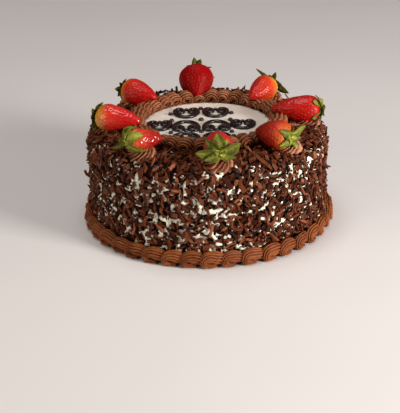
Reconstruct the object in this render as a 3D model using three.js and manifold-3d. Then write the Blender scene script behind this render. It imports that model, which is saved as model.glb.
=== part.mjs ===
// A round two-tone chocolate and cream cake, 222 mm across its chocolate-flake coat and 89 mm high.
// A piped shell border runs round its foot, a ring of piped swirls lies on the top round a white icing disc, and
// eight strawberries with their leaf crowns lie on piped rosettes near the rim, tips towards the middle.
// Millimetres, +Z up, origin at the centre of the cake's flat underside.

import * as THREE from "three";
import { mergeVertices } from "three/addons/utils/BufferGeometryUtils.js";
import Module from "manifold-3d";

// ---- driving dimensions, mm -------------------------------------------------------------------------------------
const GAP = 0.3; // clearance between pieces that touch

const COAT_R = 111; // radius over the flake coat
const WALL_R = 107; // radius of the wall behind the foot border
const FOOT_Z = 14.5; // where the flake coat begins, above the foot border
const SHOULDER_Z = 81; // where the wall starts to round over
const TOP_Z = 88.8; // flake-covered rim of the top
const FLOOR_Z = 88.4; // icing level under the disc and the ring
const FLOOR_R = 75.8; // edge of that level
const COAT_WAVE = 0.55; // unevenness of the coat

const DISC_R = 56.6; // white icing disc
const DISC_T = 1.6;

const RING_IN = 57.2; // piped ring on the top
const RING_OUT = 75;
const RING_H = 14.4;
const RING_SWIRLS = 32;

const FOOT_R = 120; // piped border round the foot
const FOOT_H = 15.5;
const FOOT_SHELLS = 40;

const ROSETTE_H = 8.6; // rosettes under the berries
const ROSETTE_SKIRT = 6; // how far one can hang over the shoulder
const ROSETTE_LOBES = 5;

// Where each rosette sits: azimuth, distance from the cake's axis, radius
const ROSETTES = {
  a: [-85, 96.6, 12.4],
  b: [-42.5, 93.8, 11.8],
  c: [0.5, 93, 12.6],
  d: [47, 93, 12.6],
  e: [96, 93, 12.6],
  f: [140.5, 93, 12.6],
  g: [-177, 93, 12.6],
  h: [-129, 93, 13],
};

// Each berry: [letter, azimuth and radius and height of its leaf end, the same for its tip, largest radius,
// where along it the largest radius lies, fullness]. Azimuth in degrees from +X, counter-clockwise.
const BERRIES = [
  ["a", -84.5, 104, 101.0, -84.5, 66, 105, 12.7, 0.58, 0.66],
  ["b", -45.5, 101, 103, -52, 68, 103, 12.9, 0.58, 0.62],
  ["c", 0.5, 105, 102.1, 4.5, 60, 102.2, 12.8, 0.52, 0.6],
  ["d", 47, 94, 105.5, 43, 58, 101, 12.2, 0.58, 0.6],
  ["e", 96, 93, 112, 97.5, 61, 95.5, 17.0, 0.56, 0.68],
  ["f", 140.5, 103, 103.4, 139, 63, 101.6, 12.9, 0.55, 0.62],
  ["g", -177, 101.5, 101.8, -161, 64, 101.4, 12.4, 0.55, 0.62],
  ["h", -134, 101, 102.6, -121.5, 75, 101.4, 10.8, 0.55, 0.62],
];
const BERRY_RINGS = 9;
const BERRY_SIDES = 10;

// Leaf crown: sepals of this reach along the berry's skin, and their thickness
const SEPALS = 6;
const SEPAL_REACH = 12.5;
const SEPAL_NOTCH = 4.2;
const SEPAL_T = 0.9;

// ---- materials --------------------------------------------------------------------------------------------------
const paint = (hex, roughness) => new THREE.MeshStandardMaterial({ color: hex, roughness, metalness: 0 });
const FLAKES = paint(0x3d2218, 0.55);
const ICING = paint(0xe9e1d3, 0.5);
const BUTTERCREAM = paint(0x7d4a33, 0.6);
const BERRY = paint(0xb3141a, 0.25);
const LEAF = paint(0x6f8a2c, 0.55);

// ---- helpers ----------------------------------------------------------------------------------------------------
const wasm = await Module();
wasm.setup();

const TAU = Math.PI * 2;
const deg = (a) => (a * Math.PI) / 180;
const polar = (a, r, z) => new THREE.Vector3(r * Math.cos(deg(a)), r * Math.sin(deg(a)), z);

function toSolid(geometry, matrix = new THREE.Matrix4()) {
  const g = geometry.index ? geometry.toNonIndexed() : geometry.clone();
  const bare = new THREE.BufferGeometry().setAttribute("position", g.getAttribute("position")).applyMatrix4(matrix);
  const merged = mergeVertices(bare, 1e-3);
  return new wasm.Manifold(
    new wasm.Mesh({
      numProp: 3,
      vertProperties: merged.attributes.position.array,
      triVerts: new Uint32Array(merged.index.array),
    }),
  );
}

function toGeometry(solid) {
  const m = solid.getMesh();
  const xyz = new Float32Array(m.numVert * 3);
  for (let i = 0; i < m.numVert; i++)
    for (let k = 0; k < 3; k++) xyz[3 * i + k] = m.vertProperties[i * m.numProp + k];
  const g = new THREE.BufferGeometry()
    .setAttribute("position", new THREE.BufferAttribute(xyz, 3))
    .setIndex(new THREE.BufferAttribute(m.triVerts, 1));
  g.computeVertexNormals();
  return g;
}

function fromGrid(points, faces) {
  const g = new THREE.BufferGeometry();
  g.setAttribute("position", new THREE.BufferAttribute(new Float32Array(points.flat()), 3));
  g.setIndex(faces.flat());
  g.computeVertexNormals();
  return g;
}

// A closed ring about Z. section(angle) gives its outline as [r, z, twist] points, counter-clockwise in (r, z).
function pipedRing(steps, section) {
  const points = [];
  const faces = [];
  const n = section(0).length;
  for (let i = 0; i < steps; i++) {
    const a = (i / steps) * TAU;
    for (const [r, z, twist = 0] of section(a)) points.push([r * Math.cos(a + twist), r * Math.sin(a + twist), z]);
  }
  for (let i = 0; i < steps; i++)
    for (let j = 0; j < n; j++) {
      const p = i * n + j;
      const q = i * n + ((j + 1) % n);
      const r = ((i + 1) % steps) * n + ((j + 1) % n);
      const s = ((i + 1) % steps) * n + j;
      faces.push([p, r, q], [p, s, r]);
    }
  return fromGrid(points, faces);
}

// ---- cake body: coated sponge, solid right through ----------------------------------------------------------------
function cakeBody() {
  const sides = 52;
  const profile = [
    [0, 0],
    [WALL_R, 0],
    [WALL_R, FOOT_Z],
    [COAT_R - 1.2, FOOT_Z + 2.5],
    [COAT_R, 40],
    [COAT_R, 62],
    [COAT_R, SHOULDER_Z],
    [COAT_R - 1.8, 85.2],
    [COAT_R - 5.5, 87.9],
    [COAT_R - 10.5, TOP_Z],
    [FLOOR_R + 0.6, TOP_Z],
    [FLOOR_R, FLOOR_Z],
    [0, FLOOR_Z],
  ].map(([r, z]) => new THREE.Vector2(r, z));
  const g = new THREE.LatheGeometry(profile, sides);
  g.rotateX(Math.PI / 2); // revolve about Z
  const p = g.getAttribute("position");
  for (let i = 0; i < p.count; i++) {
    const r = Math.hypot(p.getX(i), p.getY(i));
    const z = p.getZ(i);
    if (r < COAT_R - 3 || z < FOOT_Z + 4) continue;
    const a = Math.atan2(p.getY(i), p.getX(i));
    const wave = Math.sin(5 * a + z * 0.09) * 0.5 + Math.sin(11 * a - z * 0.13 + 1.7) * 0.3 + Math.sin(19 * a + z * 0.21) * 0.2;
    const k = (r - COAT_WAVE * (1 - wave)) / r;
    p.setX(i, p.getX(i) * k);
    p.setY(i, p.getY(i) * k);
  }
  return g;
}

// The coat's outline grown by the clearance, to shape what hangs over its shoulder.
function overCoat() {
  const profile = [
    [0, 0],
    [COAT_R, 0],
    [COAT_R, SHOULDER_Z],
    [COAT_R - 1.8, 85.2],
    [COAT_R - 5.5, 87.9],
    [COAT_R - 10.5, TOP_Z],
    [0, TOP_Z],
  ].map(([r, z]) => new THREE.Vector2(r && r + GAP, z && z + GAP));
  return new THREE.LatheGeometry(profile, 52).rotateX(Math.PI / 2);
}

// ---- white icing disc -------------------------------------------------------------------------------------------------
function icingDisc() {
  const z0 = FLOOR_Z + GAP;
  const profile = [
    [0, z0],
    [DISC_R, z0],
    [DISC_R, z0 + DISC_T - 0.4],
    [DISC_R - 0.5, z0 + DISC_T],
    [0, z0 + DISC_T],
  ].map(([r, z]) => new THREE.Vector2(r, z));
  return new THREE.LatheGeometry(profile, 40).rotateX(Math.PI / 2);
}

// ---- ring of piped swirls on the top ------------------------------------------------------------------------------------
function swirlRing() {
  const perSwirl = 4;
  const z0 = FLOOR_Z + GAP;
  const rise = RING_H;
  return pipedRing(RING_SWIRLS * perSwirl, (a) => {
    // each swirl swells and closes; the slant of its ridges shifts the swell along the ring towards the outside
    const swell = (lag) => Math.pow(Math.abs(Math.cos((a * RING_SWIRLS) / 2 - lag)), 0.7);
    const mid = (RING_IN + RING_OUT) / 2;
    const half = (RING_OUT - RING_IN) / 2;
    return [
      [RING_IN, z0],
      [RING_OUT, z0],
      [mid + half * (0.86 + 0.14 * swell(0)), z0 + rise * 0.36],
      [mid + half * (0.58 + 0.24 * swell(0.3)), z0 + rise * (0.62 + 0.14 * swell(0.3))],
      [mid, z0 + rise * (0.74 + 0.26 * swell(0.6))],
      [mid - half * (0.72 + 0.24 * swell(0.9)), z0 + rise * (0.5 + 0.14 * swell(0.9))],
    ];
  });
}

// ---- shell border round the foot -----------------------------------------------------------------------------------------
function footBorder() {
  const perShell = 4;
  const inner = WALL_R + GAP;
  return pipedRing(FOOT_SHELLS * perShell, (a) => {
    const s = (lag) => Math.pow(Math.abs(Math.cos((a * FOOT_SHELLS) / 2 - lag)), 0.6);
    const bulge = (r, lag) => inner + (r - inner) * (0.8 + 0.2 * s(lag));
    const h = 0.84 + 0.16 * s(0.2);
    return [
      [inner, 0],
      [bulge(FOOT_R - 2.5, 0), 0],
      [bulge(FOOT_R, 0), FOOT_H * 0.3],
      [bulge(FOOT_R - 2.2, 0.15), FOOT_H * 0.72 * h],
      [bulge(FOOT_R - 7, 0.2), FOOT_H * h],
      [inner + 0.6, (FOOT_Z - 0.6) * h],
    ];
  });
}

// ---- strawberries ---------------------------------------------------------------------------------------------------------
// Skin radius at a share t of the berry's length, from the leaf end to the tip.
const skin = (t, W, p, q) => W * Math.pow(Math.max(0, Math.sin(Math.PI * Math.pow(t, p))), q);

function berryFrame([, a0, r0, z0, a1, r1, z1]) {
  const base = polar(a0, r0, z0);
  const tip = polar(a1, r1, z1);
  const along = tip.clone().sub(base);
  const length = along.length();
  const turn = new THREE.Quaternion().setFromUnitVectors(new THREE.Vector3(0, 1, 0), along.normalize());
  return { base, length, turn };
}

function berryGeometry(spec, grow = 0) {
  const [, , , , , , , W, p, q] = spec;
  const { length } = berryFrame(spec);
  const profile = [new THREE.Vector2(0, -grow)];
  for (let i = 1; i < BERRY_RINGS; i++) {
    const t = Math.pow(i / BERRY_RINGS, 1.35);
    profile.push(new THREE.Vector2(skin(t, W, p, q) + grow, t * length));
  }
  profile.push(new THREE.Vector2(0, length + grow));
  return new THREE.LatheGeometry(profile, BERRY_SIDES);
}

// A point at arc length s from the middle of the leaf end, along the skin, lifted by h: [radius, distance along].
function onSkin(spec, s, h) {
  const [, , , , , , , W, p, q] = spec;
  const { length } = berryFrame(spec);
  let t = 0;
  let r = 0;
  let walked = 0;
  while (walked < s && t < 0.9) {
    const t2 = t + 0.004;
    const r2 = skin(t2, W, p, q);
    walked += Math.hypot(r2 - r, 0.004 * length);
    t = t2;
    r = r2;
  }
  const d = 0.004;
  const dr = skin(t + d, W, p, q) - skin(Math.max(t - d, 0), W, p, q);
  const dy = (t + d - Math.max(t - d, 0)) * length;
  const m = Math.hypot(dr, dy);
  return [r + (h * dy) / m, t * length - (h * dr) / m];
}

function crownGeometry(spec) {
  const n = SEPALS * 2;
  const rings = 3;
  const points = [];
  const faces = [];
  for (const side of [0, 1]) {
    const lift = 0.9 + side * SEPAL_T;
    points.push([0, -lift, 0]);
    for (let k = 1; k <= rings; k++)
      for (let j = 0; j < n; j++) {
        const reach = ((j % 2 ? SEPAL_NOTCH : SEPAL_REACH) * k) / rings;
        const bend = 0.14 * reach; // sepals stand off the skin towards their points
        const [r, y] = onSkin(spec, reach, lift + bend);
        const a = (j / n) * TAU;
        points.push([r * Math.cos(a), y, r * Math.sin(a)]);
      }
  }
  const per = 1 + rings * n;
  const at = (side, k, j) => (k === 0 ? side * per : side * per + 1 + (k - 1) * n + (j % n));
  for (const side of [0, 1])
    for (let k = 0; k < rings; k++)
      for (let j = 0; j < n; j++) {
        const quad = [at(side, k, j), at(side, k + 1, j), at(side, k + 1, j + 1), at(side, k, j + 1)];
        const tris = k === 0 ? [[quad[0], quad[1], quad[2]]] : [[quad[0], quad[1], quad[2]], [quad[0], quad[2], quad[3]]];
        for (const t of tris) faces.push(side ? t : [t[0], t[2], t[1]]);
      }
  for (let j = 0; j < n; j++) {
    const [a, b, c, d] = [at(0, rings, j), at(0, rings, j + 1), at(1, rings, j + 1), at(1, rings, j)];
    faces.push([a, b, c], [a, c, d]);
  }
  return fromGrid(points, faces);
}

// ---- rosette under a berry, pressed by it ----------------------------------------------------------------------------------
function rosetteGeometry(radius) {
  const sides = ROSETTE_LOBES * 2;
  const profile = [
    [0, -ROSETTE_SKIRT],
    [radius - 1, -ROSETTE_SKIRT],
    [radius, ROSETTE_H * 0.3],
    [radius * 0.8, ROSETTE_H * 0.72],
    [radius * 0.42, ROSETTE_H],
    [0, ROSETTE_H],
  ].map(([r, z]) => new THREE.Vector2(r, z));
  const g = new THREE.LatheGeometry(profile, sides).rotateX(Math.PI / 2);
  const p = g.getAttribute("position");
  for (let i = 0; i < p.count; i++) {
    const z = p.getZ(i);
    if (z < 0.1 || z > ROSETTE_H - 0.1) continue;
    const a = Math.atan2(p.getY(i), p.getX(i)) + z * 0.06;
    const k = 0.96 + 0.06 * Math.cos(ROSETTE_LOBES * a);
    p.setX(i, p.getX(i) * k);
    p.setY(i, p.getY(i) * k);
  }
  return g;
}

// ---- assembly ------------------------------------------------------------------------------------------------------------------
const cake = new THREE.Group();

function add(name, geometry, material, place) {
  const mesh = new THREE.Mesh(geometry, material);
  mesh.name = name;
  if (place) {
    mesh.position.copy(place.base);
    mesh.quaternion.copy(place.turn);
  }
  cake.add(mesh);
  return mesh;
}

const placed = (frame) => new THREE.Matrix4().compose(frame.base, frame.turn, new THREE.Vector3(1, 1, 1));
const grown = BERRIES.map((b) => toSolid(berryGeometry(b, GAP), placed(berryFrame(b))));
const coat = toSolid(overCoat());
const crowns = BERRIES.map((b) => toSolid(crownGeometry(b), placed(berryFrame(b))));

add("cake_body", cakeBody(), FLAKES);
add("icing_disc", icingDisc(), ICING);
add("foot_border", footBorder(), BUTTERCREAM);

let ring = toSolid(swirlRing());
for (const berry of grown) ring = ring.subtract(berry);
add("swirl_ring", toGeometry(ring), BUTTERCREAM);

BERRIES.forEach((b, i) => {
  const frame = berryFrame(b);
  const [azimuth, distance, radius] = ROSETTES[b[0]];
  const at = new THREE.Matrix4().makeTranslation(polar(azimuth, distance, TOP_Z + GAP));
  const pressed = toSolid(rosetteGeometry(radius), at).subtract(coat).subtract(grown[i]).subtract(crowns[i]);
  const largest = pressed.decompose().sort((x, y) => y.volume() - x.volume())[0];
  add("rosette_" + b[0], toGeometry(largest), BUTTERCREAM);
  add("strawberry_" + b[0], berryGeometry(b), BERRY, frame);
  add("leaf_crown_" + b[0], crownGeometry(b), LEAF, frame);
});

export default cake;
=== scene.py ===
import bpy
import math
import numpy as np
from mathutils import Matrix, Vector


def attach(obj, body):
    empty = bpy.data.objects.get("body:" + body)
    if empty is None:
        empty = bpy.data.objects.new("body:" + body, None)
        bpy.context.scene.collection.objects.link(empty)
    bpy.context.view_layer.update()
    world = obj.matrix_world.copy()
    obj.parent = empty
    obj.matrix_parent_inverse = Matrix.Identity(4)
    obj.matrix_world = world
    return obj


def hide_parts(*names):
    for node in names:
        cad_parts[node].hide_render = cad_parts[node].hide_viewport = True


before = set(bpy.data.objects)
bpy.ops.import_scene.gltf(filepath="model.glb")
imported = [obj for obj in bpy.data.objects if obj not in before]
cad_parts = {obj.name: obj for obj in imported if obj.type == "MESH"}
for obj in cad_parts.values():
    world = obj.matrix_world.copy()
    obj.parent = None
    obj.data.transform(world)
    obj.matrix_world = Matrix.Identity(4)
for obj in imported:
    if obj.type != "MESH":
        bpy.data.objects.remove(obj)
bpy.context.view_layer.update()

# Lengths below are millimetres unless a name says otherwise; meshes are scaled to metres when they are made.
MM = 0.001
TAU = 2 * math.pi


# ------------------------------------------------------------------------------------------------ small tools

def unit(v):
    v = np.asarray(v, float)
    return v / np.maximum(np.linalg.norm(v, axis=-1, keepdims=True), 1e-9)


def smooth(a, b, x):
    t = np.clip((np.asarray(x, float) - a) / (b - a), 0, 1)
    return t * t * (3 - 2 * t)


def noise(p, seed=0):
    """Smooth value noise from -1 to 1 at points p (n, 3), one lattice cell to each unit."""
    p = np.asarray(p, float)
    i = np.floor(p).astype(np.int64)
    f = p - i
    f = f * f * (3 - 2 * f)

    def h(x, y, z):
        n = (x * 374761393 + y * 668265263 + z * 1440662683 + seed * 974634777) & 0xFFFFFFFF
        n = ((n ^ (n >> 13)) * 1274126177) & 0xFFFFFFFF
        return ((n ^ (n >> 16)) & 0xFFFFFF) / 0x7FFFFF - 1.0

    x, y, z = i[..., 0], i[..., 1], i[..., 2]
    u, v, w = f[..., 0], f[..., 1], f[..., 2]
    a = h(x, y, z) * (1 - u) + h(x + 1, y, z) * u
    b = h(x, y + 1, z) * (1 - u) + h(x + 1, y + 1, z) * u
    c = h(x, y, z + 1) * (1 - u) + h(x + 1, y, z + 1) * u
    d = h(x, y + 1, z + 1) * (1 - u) + h(x + 1, y + 1, z + 1) * u
    return (a * (1 - v) + b * v) * (1 - w) + (c * (1 - v) + d * v) * w


def polar(az, r, z):
    a = np.radians(az)
    return np.array([r * np.cos(a), r * np.sin(a), z])


class Soup:
    """Gathers vertices, faces and one number for each vertex, and makes one mesh of them.

    flow, where given, is a place in each flake's own grain, for the fine lines on it."""

    def __init__(self):
        self.co, self.quads, self.tris, self.tone, self.flow, self.n = [], [], [], [], [], 0

    def add(self, co, quads=None, tris=None, tone=0.5):
        co = np.asarray(co, float).reshape(-1, 3)
        if quads is not None and len(quads):
            self.quads.append(np.asarray(quads, np.int64).reshape(-1, 4) + self.n)
        if tris is not None and len(tris):
            self.tris.append(np.asarray(tris, np.int64).reshape(-1, 3) + self.n)
        self.co.append(co)
        self.tone.append(np.broadcast_to(np.asarray(tone, float).reshape(-1), (len(co),)))
        self.n += len(co)

    def shell(self, co, start, end, tone=0.5):
        """A closed skin: rings co (n, m, 3) between two poles. The rings run anti-clockwise seen from the end."""
        n, m = co.shape[:2]
        i, j = np.meshgrid(np.arange(n - 1), np.arange(m), indexing="ij")
        k = (j + 1) % m
        quads = np.stack([i * m + j, i * m + k, (i + 1) * m + k, (i + 1) * m + j], -1).reshape(-1, 4)
        j = np.arange(m)
        k = (j + 1) % m
        low = np.stack([np.full(m, n * m), k, j], -1)
        high = np.stack([np.full(m, n * m + 1), (n - 1) * m + j, (n - 1) * m + k], -1)
        if np.ndim(tone):
            tone = np.asarray(tone, float).reshape(n, -1) * np.ones((1, m))
            tone = np.concatenate([tone.ravel(), [tone[0].mean(), tone[-1].mean()]])
        self.add(np.concatenate([co.reshape(-1, 3), [start, end]]), quads, np.concatenate([low, high]), tone)

    def make(self, name, material, replaces=(), crease=None):
        co = np.concatenate(self.co) * MM
        quads = np.concatenate(self.quads) if self.quads else np.zeros((0, 4), np.int64)
        tris = np.concatenate(self.tris) if self.tris else np.zeros((0, 3), np.int64)
        me = bpy.data.meshes.new(name)
        me.vertices.add(len(co))
        me.vertices.foreach_set("co", co.astype(np.float32).ravel())
        me.loops.add(quads.size + tris.size)
        me.loops.foreach_set("vertex_index", np.concatenate([quads.ravel(), tris.ravel()]).astype(np.int32))
        me.polygons.add(len(quads) + len(tris))
        starts = np.concatenate([np.arange(len(quads)) * 4, quads.size + np.arange(len(tris)) * 3])
        me.polygons.foreach_set("loop_start", starts.astype(np.int32))
        me.polygons.foreach_set("use_smooth", np.ones(len(starts), bool))
        me.update(calc_edges=True)
        me.validate()
        a = me.attributes.new("tone", "FLOAT", "POINT")
        a.data.foreach_set("value", np.concatenate(self.tone).astype(np.float32))
        if self.flow:
            a = me.attributes.new("flow", "FLOAT_VECTOR", "POINT")
            a.data.foreach_set("vector", np.concatenate(self.flow).astype(np.float32).ravel())
        if crease is not None:
            me.set_sharp_from_angle(angle=math.radians(crease))
        o = bpy.data.objects.new(name, me)
        bpy.context.scene.collection.objects.link(o)
        me.materials.append(material)
        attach(o, "root")
        if replaces:
            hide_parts(*replaces)
        print(name, "triangles", 2 * len(quads) + len(tris))
        return o


# ------------------------------------------------------------------------------------------------ materials

def nodes_of(name):
    m = bpy.data.materials.new(name)
    m.use_nodes = True
    t = m.node_tree
    t.nodes.clear()
    out = t.nodes.new("ShaderNodeOutputMaterial")
    bsdf = t.nodes.new("ShaderNodeBsdfPrincipled")
    t.links.new(bsdf.outputs[0], out.inputs["Surface"])
    return m, t, bsdf


def coords(t):
    return t.nodes.new("ShaderNodeTexCoord").outputs["Object"]


def grain(t, where, scale, detail=3.0, rough=0.55, distortion=0.0):
    n = t.nodes.new("ShaderNodeTexNoise")
    n.inputs["Scale"].default_value = scale
    n.inputs["Detail"].default_value = detail
    n.inputs["Roughness"].default_value = rough
    n.inputs["Distortion"].default_value = distortion
    t.links.new(where, n.inputs["Vector"])
    return n.outputs["Fac"]


def ramp(t, fac, stops, interpolation="LINEAR"):
    n = t.nodes.new("ShaderNodeValToRGB")
    n.color_ramp.interpolation = interpolation
    e = n.color_ramp.elements
    while len(e) < len(stops):
        e.new(0.5)
    for el, (pos, col) in zip(e, stops):
        el.position = pos
        el.color = (*col, 1) if len(col) == 3 else (col[0],) * 3 + (1,)
    t.links.new(fac, n.inputs["Fac"])
    return n.outputs["Color"]


def blendc(t, fac, a, b, mode="MIX"):
    n = t.nodes.new("ShaderNodeMix")
    n.data_type = "RGBA"
    n.blend_type = mode
    for k, v in (("Factor", fac), (6, a), (7, b)):
        s = n.inputs[0] if k == "Factor" else n.inputs[k]
        if hasattr(v, "is_linked") or hasattr(v, "links"):
            t.links.new(v, s)
        elif k == "Factor":
            s.default_value = v
        else:
            s.default_value = (*v, 1)
    return n.outputs[2]


def maths(t, op, a, b=None, clamp=False):
    n = t.nodes.new("ShaderNodeMath")
    n.operation = op
    n.use_clamp = clamp
    for k, v in ((0, a), (1, b)):
        if v is None:
            continue
        if hasattr(v, "links"):
            t.links.new(v, n.inputs[k])
        else:
            n.inputs[k].default_value = v
    return n.outputs[0]


def tone_of(t, name="tone"):
    n = t.nodes.new("ShaderNodeAttribute")
    n.attribute_name = name
    return n.outputs["Fac"]


def bump(t, bsdf, height, strength, distance, below=None):
    n = t.nodes.new("ShaderNodeBump")
    n.inputs["Strength"].default_value = strength
    n.inputs["Distance"].default_value = distance
    t.links.new(height, n.inputs["Height"])
    if below is not None:
        t.links.new(below, n.inputs["Normal"])
    t.links.new(n.outputs[0], bsdf.inputs["Normal"])
    return n.outputs[0]


def chocolate_flakes():
    m, t, b = nodes_of("chocolate_flakes")
    c = coords(t)
    tone = tone_of(t)
    flow = t.nodes.new("ShaderNodeAttribute")
    flow.attribute_name = "flow"
    lines = grain(t, flow.outputs["Vector"], 1.0, 2, 0.6)
    fine = grain(t, c, 900, 4, 0.6)
    fac = maths(t, "ADD", maths(t, "MULTIPLY", tone, 0.74), maths(t, "MULTIPLY", maths(t, "ADD", fine, lines), 0.14), True)
    col = ramp(t, fac, [(0.0, (0.0080, 0.0015, 0.0005)), (0.38, (0.058, 0.0125, 0.0040)), (0.72, (0.150, 0.039, 0.0145)), (1.0, (0.35, 0.125, 0.060))])
    t.links.new(col, b.inputs["Base Color"])
    t.links.new(ramp(t, fine, [(0.2, (0.34,)), (0.85, (0.58,))]), b.inputs["Roughness"])
    b.inputs["Specular IOR Level"].default_value = 0.12
    first = bump(t, b, lines, 0.7, 0.0005)
    second = bump(t, b, fine, 0.3, 0.0003, first)
    bump(t, b, grain(t, c, 2600, 2), 0.15, 0.0001, second)
    return m


def coat_cream():
    m, t, b = nodes_of("coat_cream")
    c = coords(t)
    tone = tone_of(t)  # 0 where the cream shows, 1 where dark crumbs cover it, painted near-black as shade in the gaps between the flakes
    patch = grain(t, c, 260, 4, 0.6)
    crumb = grain(t, c, 1100, 3, 0.6)
    cream = ramp(t, patch, [(0.25, (0.80, 0.75, 0.48)), (0.42, (0.90, 0.87, 0.71)), (0.8, (0.94, 0.92, 0.84))])
    # The crumb colour is nearly black: real dark crumbs, and painted shade in the gaps between the flakes.
    crumbs_and_gap_shade = ramp(t, crumb, [(0.35, (0.004, 0.0012, 0.0006)), (0.6, (0.011, 0.0034, 0.0017)), (0.85, (0.05, 0.016, 0.008))])
    spread = maths(t, "ADD", tone, maths(t, "MULTIPLY", maths(t, "SUBTRACT", crumb, 0.5), 0.35))
    fac = ramp(t, spread, [(0.47, (0.0,)), (0.53, (1.0,))])
    t.links.new(blendc(t, fac, cream, crumbs_and_gap_shade), b.inputs["Base Color"])
    t.links.new(ramp(t, fac, [(0.0, (0.42,)), (1.0, (0.8,))]), b.inputs["Roughness"])
    b.inputs["Specular IOR Level"].default_value = 0.2
    bump(t, b, crumb, 0.5, 0.0006)
    return m


def buttercream(name, dark, mid, light):
    m, t, b = nodes_of(name)
    c = coords(t)
    soft = grain(t, c, 120, 3, 0.5)
    fine = grain(t, c, 1500, 3, 0.6)
    tone = tone_of(t)
    fac = maths(t, "ADD", maths(t, "MULTIPLY", maths(t, "SUBTRACT", soft, 0.5), 0.5), tone, True)
    col = ramp(t, fac, [(0.1, dark), (0.5, mid), (0.9, light)])
    t.links.new(col, b.inputs["Base Color"])
    t.links.new(ramp(t, fine, [(0.25, (0.46,)), (0.8, (0.64,))]), b.inputs["Roughness"])
    b.inputs["Specular IOR Level"].default_value = 0.15
    first = bump(t, b, fine, 0.25, 0.0003)
    bump(t, b, grain(t, c, 420, 2), 0.25, 0.0006, first)
    return m


def white_icing():
    m, t, b = nodes_of("white_icing")
    c = coords(t)
    broad = grain(t, c, 28, 3, 0.5)
    fine = grain(t, c, 900, 2, 0.5)
    col = ramp(t, broad, [(0.3, (0.70, 0.615, 0.545)), (0.7, (0.78, 0.70, 0.635))])
    t.links.new(col, b.inputs["Base Color"])
    t.links.new(ramp(t, broad, [(0.3, (0.38,)), (0.7, (0.5,))]), b.inputs["Roughness"])
    first = bump(t, b, broad, 0.3, 0.002)
    bump(t, b, fine, 0.12, 0.0002, first)
    return m


def dark_gloss():
    m, t, b = nodes_of("dark_gloss_chocolate")
    c = coords(t)
    n = grain(t, c, 350, 3)
    t.links.new(ramp(t, n, [(0.3, (0.006, 0.0035, 0.0035)), (0.75, (0.017, 0.008, 0.007))]), b.inputs["Base Color"])
    t.links.new(ramp(t, n, [(0.3, (0.2,)), (0.75, (0.36,))]), b.inputs["Roughness"])
    bump(t, b, n, 0.25, 0.0006)
    return m


def berry_skin(name, pale, orange, red, deep, coat, shine=0.18):
    m, t, b = nodes_of(name)
    c = coords(t)
    mottle = grain(t, c, 170, 4, 0.6)
    fine = grain(t, c, 900, 3)
    ripe = maths(t, "ADD", tone_of(t), maths(t, "MULTIPLY", maths(t, "SUBTRACT", mottle, 0.5), 0.28), True)
    col = ramp(t, ripe, [(0.03, pale), (0.24, orange), (0.5, red), (0.95, deep)])
    t.links.new(col, b.inputs["Base Color"])
    t.links.new(ramp(t, fine, [(0.3, (0.36,)), (0.8, (0.52,))]), b.inputs["Roughness"])
    b.inputs["Specular IOR Level"].default_value = shine
    b.inputs["Coat Weight"].default_value = coat
    b.inputs["Coat Roughness"].default_value = 0.07
    b.inputs["Subsurface Weight"].default_value = 0.12
    b.inputs["Subsurface Radius"].default_value = (0.0028, 0.0006, 0.0004)
    b.inputs["Subsurface Scale"].default_value = 1.0
    bump(t, b, fine, 0.12, 0.0004)
    return m


def seed_skin():
    m, t, b = nodes_of("berry_seed_skin")
    t.links.new(ramp(t, tone_of(t), [(0.1, (0.30, 0.050, 0.010)), (0.5, (0.38, 0.105, 0.019)), (0.9, (0.20, 0.022, 0.007))]), b.inputs["Base Color"])
    t.links.new(ramp(t, grain(t, coords(t), 2500, 2), [(0.3, (0.25,)), (0.7, (0.5,))]), b.inputs["Roughness"])
    return m


def leaf_skin():
    m, t, b = nodes_of("berry_leaf_skin")
    c = coords(t)
    tone = tone_of(t)  # 0 dark, 1 pale yellow-green
    n = grain(t, c, 380, 4, 0.6)
    fac = maths(t, "ADD", maths(t, "MULTIPLY", tone, 0.85), maths(t, "MULTIPLY", n, 0.22), True)
    col = ramp(t, fac, [(0.05, (0.019, 0.020, 0.0020)), (0.35, (0.073, 0.077, 0.0078)), (0.62, (0.172, 0.180, 0.020)), (1.0, (0.45, 0.45, 0.065))])
    t.links.new(col, b.inputs["Base Color"])
    t.links.new(ramp(t, n, [(0.3, (0.5,)), (0.8, (0.7,))]), b.inputs["Roughness"])
    b.inputs["Specular IOR Level"].default_value = 0.16
    bump(t, b, n, 0.35, 0.0005)
    return m


def pale_floor():
    m, t, b = nodes_of("pale_floor")
    n = grain(t, coords(t), 3, 2)
    t.links.new(ramp(t, n, [(0.3, (0.66, 0.63, 0.635)), (0.7, (0.69, 0.66, 0.665))]), b.inputs["Base Color"])
    b.inputs["Roughness"].default_value = 0.7
    return m


FLAKE = chocolate_flakes()
CREAM = coat_cream()
BUTTER_FOOT = buttercream("foot_buttercream", (0.068, 0.0140, 0.0032), (0.205, 0.053, 0.0128), (0.30, 0.088, 0.025))
BUTTER_ROSE = buttercream("rosette_buttercream", (0.085, 0.022, 0.0085), (0.27, 0.092, 0.043), (0.47, 0.205, 0.125))
BUTTER_TOP = buttercream("top_buttercream", (0.066, 0.0155, 0.0046), (0.215, 0.064, 0.0215), (0.41, 0.165, 0.085))
ICING = white_icing()
GLOSS = dark_gloss()
SEED = seed_skin()
LEAF = leaf_skin()

# ------------------------------------------------------------------------------------------------ cake core and its coat

WALL_R = 107.7  # cream wall
FOOT_Z = 13.0
FILLET = 9.5
TOP_Z = 87.6
TOP_IN = 69.0

S_SIDE = TOP_Z - FILLET - FOOT_Z
S_ARC = math.pi / 2 * FILLET
S_TOP = WALL_R - FILLET - TOP_IN
S_ALL = S_SIDE + S_ARC + S_TOP


def coat(s):
    """Radius, height and outward slope (0 level with the wall, 90 facing up) of the cream at a distance s up from the foot."""
    s = np.asarray(s, float)
    a = np.clip((s - S_SIDE) / FILLET, 0, math.pi / 2)
    r = WALL_R - FILLET * (1 - np.cos(a)) - np.clip(s - S_SIDE - S_ARC, 0, None)
    z = FOOT_Z + np.clip(s, None, S_SIDE) + FILLET * np.sin(a)
    return r, z, a


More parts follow.
